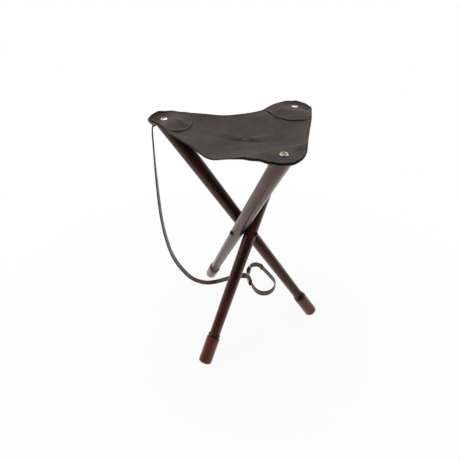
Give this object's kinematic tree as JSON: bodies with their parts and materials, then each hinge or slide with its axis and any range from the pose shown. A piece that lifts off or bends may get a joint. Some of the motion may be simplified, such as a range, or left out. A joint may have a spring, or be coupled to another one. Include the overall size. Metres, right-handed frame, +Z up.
{
  "type": "tripod hunting stool",
  "caption": "Folding tripod stool: turned wooden legs crossed on a steel hub carry a slung three-cornered leather seat, with a leather carry strap and buckled collar.",
  "frame": {"origin": "on the floor, on the vertical axis through the pivot hub, midway between the feet", "axes": "+Z up, +Y to the back, +X to the right as seen from the front; one stud points along +Y"},
  "size_m": [0.3917, 0.3807, 0.5177],
  "materials": {
    "stained_wood": "satin lacquer",
    "blackened_steel": "black oxide",
    "seat_leather": "waxed",
    "strap_leather": "waxed",
    "nickel": "nickel plate",
    "brass": "polished"
  },
  "bodies": {
    "hub": {"pivot_hub": "blackened_steel", "pivot_washer_left": "blackened_steel", "pivot_washer_front": "blackened_steel", "pivot_washer_rear": "blackened_steel", "cap_nut_left": "blackened_steel", "cap_nut_front": "blackened_steel", "cap_nut_rear": "blackened_steel", "carry_strap": "strap_leather", "collar_belt": "strap_leather", "strap_end_sleeve": "strap_leather", "sleeve_rivet": "nickel", "belt_keeper": "strap_leather", "buckle_chape": "strap_leather", "buckle_frame": "nickel", "buckle_prong": "nickel"},
    "leg_assembly_left": {"leg_left": "stained_wood", "cup_washer_left": "nickel", "seat_screw_left": "brass"},
    "leg_assembly_front": {"leg_front": "stained_wood", "cup_washer_front": "nickel", "seat_screw_front": "brass"},
    "leg_assembly_rear": {"leg_rear": "stained_wood", "cup_washer_rear": "nickel", "seat_screw_rear": "brass"},
    "seat": {"seat_panel": "seat_leather", "corner_patch_left": "seat_leather", "corner_patch_front": "seat_leather", "corner_patch_rear": "seat_leather"}
  },
  "joints": [
    {"name": "fold_left", "type": "hinge", "parent": "hub", "child": "leg_assembly_left", "pos_m": [0, 0, 0.26479], "axis": [0, 1, 0], "range_deg": [0, 33], "deforming": ["seat_panel", "corner_patch_left", "corner_patch_front", "corner_patch_rear", "carry_strap"]},
    {"name": "fold_front", "type": "hinge", "parent": "hub", "child": "leg_assembly_front", "pos_m": [0, 0, 0.26479], "axis": [-0.866, -0.5, 0], "range_deg": [0, 33]},
    {"name": "fold_rear", "type": "hinge", "parent": "hub", "child": "leg_assembly_rear", "pos_m": [0, 0, 0.26479], "axis": [0.866, -0.5, 0], "range_deg": [0, 33]},
    {"name": "seat_rise", "type": "slide", "parent": "hub", "child": "seat", "axis": [0, 0, 1], "range_m": [0, 0.086]}
  ],
  "couplings": [
    {"joint": "fold_front", "follows": "fold_left", "ratio": 1},
    {"joint": "fold_rear", "follows": "fold_left", "ratio": 1},
    {"joint": "seat_rise", "follows": "fold_left", "m_per_rad": 0.14932}
  ]
}
